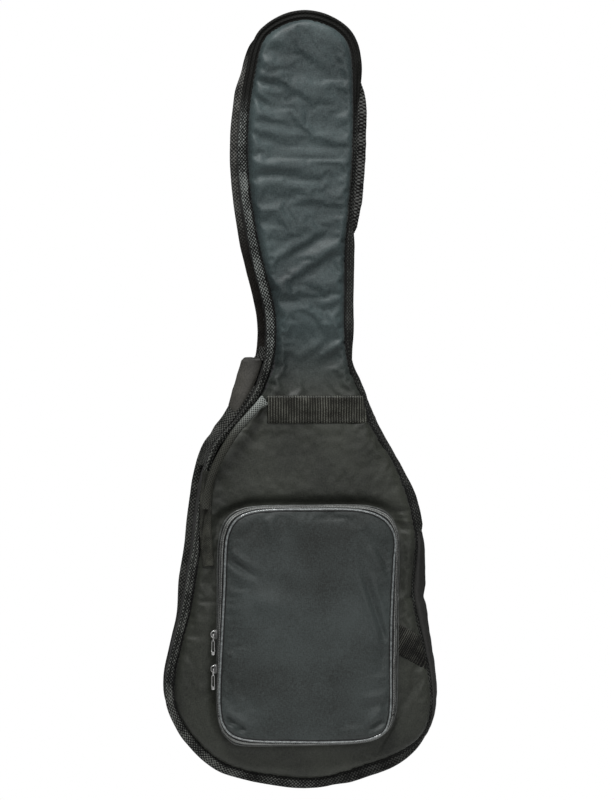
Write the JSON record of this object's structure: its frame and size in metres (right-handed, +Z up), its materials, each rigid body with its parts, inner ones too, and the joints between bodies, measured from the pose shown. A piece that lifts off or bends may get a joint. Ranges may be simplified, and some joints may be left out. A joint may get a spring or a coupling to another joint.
{
  "type": "padded guitar gig bag",
  "caption": "Padded soft gig bag for an electric guitar, opening on a side-hinged zipped lid, with a zipped front pocket, webbing carry handle, hanging loop and shoulder straps.",
  "frame": {"origin": "where the hanging loop behind the head rests on its hook", "axes": "+Z up along the neck, -Y out of the front panel, +X to the right seen from the front"},
  "size_m": [0.3866, 0.1279, 1.0716],
  "materials": {
    "shell_cloth": "woven polyester, slight slate sheen",
    "pocket_cloth": "woven polyester, slight sheen",
    "strap_cloth": "woven polyester over foam",
    "foam": "closed-cell foam sheet",
    "lining": "thin smooth lining",
    "binding": "woven binding tape",
    "webbing": "ribbed polyester webbing",
    "zip_tape": "woven zip tape",
    "zip_coil": "nylon coil",
    "piping": "satin piping over a cord",
    "zip_metal": "dark nickel plate",
    "buckle_plastic": "moulded, slightly textured"
  },
  "bodies": {
    "back_shell": {"back_panel_fabric": "shell_cloth", "back_panel_foam": "foam", "back_panel_lining": "lining", "back_binding": "binding", "shell_gusset_head": "shell_cloth", "shell_gusset_neck_right": "shell_cloth", "shell_gusset_waist_right": "shell_cloth", "shell_gusset_side_right": "shell_cloth", "shell_gusset_bottom": "shell_cloth", "shell_gusset_side_left": "shell_cloth", "shell_gusset_waist_left": "shell_cloth", "shell_gusset_neck_left": "shell_cloth", "back_zip_coil": "zip_coil", "back_zip_tape": "zip_tape", "hang_loop": "webbing", "strap_patch": "webbing", "strap_anchor_left": "webbing", "strap_anchor_right": "webbing"},
    "front_lid": {"front_panel_fabric": "shell_cloth", "front_panel_foam": "foam", "front_panel_lining": "lining", "front_binding": "binding", "lid_gusset_head": "shell_cloth", "lid_gusset_neck_right": "shell_cloth", "lid_gusset_waist_right": "shell_cloth", "lid_gusset_side_right": "shell_cloth", "lid_gusset_bottom": "shell_cloth", "lid_gusset_side_left": "shell_cloth", "lid_gusset_waist_left": "shell_cloth", "lid_gusset_neck_left": "shell_cloth", "front_zip_coil": "zip_coil", "front_zip_tape": "zip_tape", "upper_webbing": "webbing", "lower_webbing": "webbing", "handle_end_webbing": "webbing", "pocket_piping_rear": "piping", "pocket_gusset_rear": "pocket_cloth", "pocket_zip_coil_rear": "zip_coil"},
    "pocket_flap": {"pocket_zip_coil_front": "zip_coil", "pocket_gusset_front": "pocket_cloth", "pocket_piping_front": "piping", "pocket_face": "pocket_cloth"},
    "pocket_upper_slider": {"pocket_upper_slider": "zip_metal"},
    "pocket_upper_pull": {"pocket_upper_pull": "zip_metal"},
    "pocket_lower_slider": {"pocket_lower_slider": "zip_metal"},
    "pocket_lower_pull": {"pocket_lower_pull": "zip_metal"},
    "main_upper_slider": {"main_upper_slider": "zip_metal"},
    "main_upper_pull": {"main_upper_pull": "zip_metal"},
    "main_lower_slider": {"main_lower_slider": "zip_metal"},
    "main_lower_pull": {"main_lower_pull": "zip_metal"},
    "carry_handle": {"carry_handle": "webbing"},
    "strap_left": {"strap_pad_left": "strap_cloth", "strap_buckle_left": "buckle_plastic"},
    "strap_tail_left": {"strap_tail_left": "webbing"},
    "strap_right": {"strap_pad_right": "strap_cloth", "strap_buckle_right": "buckle_plastic"},
    "strap_tail_right": {"strap_tail_right": "webbing"}
  },
  "joints": [
    {"name": "lid_hinge", "type": "hinge", "parent": "back_shell", "child": "front_lid", "pos_m": [0.1905, -0.0635, -0.749], "axis": [0, 0, 1], "range_deg": [0, 150]},
    {"name": "pocket_flap_hinge", "type": "hinge", "parent": "front_lid", "child": "pocket_flap", "pos_m": [0, -0.1047, -0.9935], "axis": [1, 0, 0], "range_deg": [0, 100]},
    {"name": "pocket_upper_slide", "type": "slide", "parent": "front_lid", "child": "pocket_upper_slider", "axis": [0, 0, 1], "range_m": [-0.01, 0.115]},
    {"name": "pocket_upper_pull_hinge", "type": "hinge", "parent": "pocket_upper_slider", "child": "pocket_upper_pull", "pos_m": [-0.1338, -0.1047, -0.834], "axis": [0, 1, 0], "range_deg": [0, 150]},
    {"name": "pocket_lower_slide", "type": "slide", "parent": "front_lid", "child": "pocket_lower_slider", "axis": [0, 0, 1], "range_m": [-0.065, 0.01]},
    {"name": "pocket_lower_pull_hinge", "type": "hinge", "parent": "pocket_lower_slider", "child": "pocket_lower_pull", "pos_m": [-0.1338, -0.1047, -0.881], "axis": [0, 1, 0], "range_deg": [0, 150]},
    {"name": "main_upper_slide", "type": "slide", "parent": "back_shell", "child": "main_upper_slider", "axis": [0, 0, 1], "range_m": [-0.008, 0.05]},
    {"name": "main_upper_pull_hinge", "type": "hinge", "parent": "main_upper_slider", "child": "main_upper_pull", "pos_m": [0.0659, -0.0635, -0.359], "axis": [0, -1, 0], "range_deg": [0, 150]},
    {"name": "main_lower_slide", "type": "slide", "parent": "back_shell", "child": "main_lower_slider", "axis": [0, 0, 1], "range_m": [-0.04, 0.008]},
    {"name": "main_lower_pull_hinge", "type": "hinge", "parent": "main_lower_slider", "child": "main_lower_pull", "pos_m": [0.0659, -0.0635, -0.404], "axis": [0, -1, 0], "range_deg": [0, 150]},
    {"name": "handle_hinge", "type": "hinge", "parent": "front_lid", "child": "carry_handle", "pos_m": [-0.0582, -0.0917, -0.5212], "axis": [0.5617, 0, 0.8274], "range_deg": [0, 85]},
    {"name": "strap_left_hinge", "type": "hinge", "parent": "back_shell", "child": "strap_left", "pos_m": [-0.03, -0.004, -0.493], "axis": [0.986, 0, -0.167], "range_deg": [0, 20]},
    {"name": "strap_tail_left_hinge", "type": "hinge", "parent": "back_shell", "child": "strap_tail_left", "pos_m": [-0.112, -0.004, -0.977], "axis": [-0.986, 0, 0.167], "range_deg": [0, 33]},
    {"name": "strap_right_hinge", "type": "hinge", "parent": "back_shell", "child": "strap_right", "pos_m": [0.03, -0.004, -0.493], "axis": [0.986, 0, 0.167], "range_deg": [0, 20]},
    {"name": "strap_tail_right_hinge", "type": "hinge", "parent": "back_shell", "child": "strap_tail_right", "pos_m": [0.112, -0.004, -0.977], "axis": [-0.986, 0, -0.167], "range_deg": [0, 33]}
  ],
  "couplings": [
    {"joint": "strap_tail_left_hinge", "follows": "strap_left_hinge", "ratio": 1.64},
    {"joint": "strap_tail_right_hinge", "follows": "strap_right_hinge", "ratio": 1.64}
  ]
}
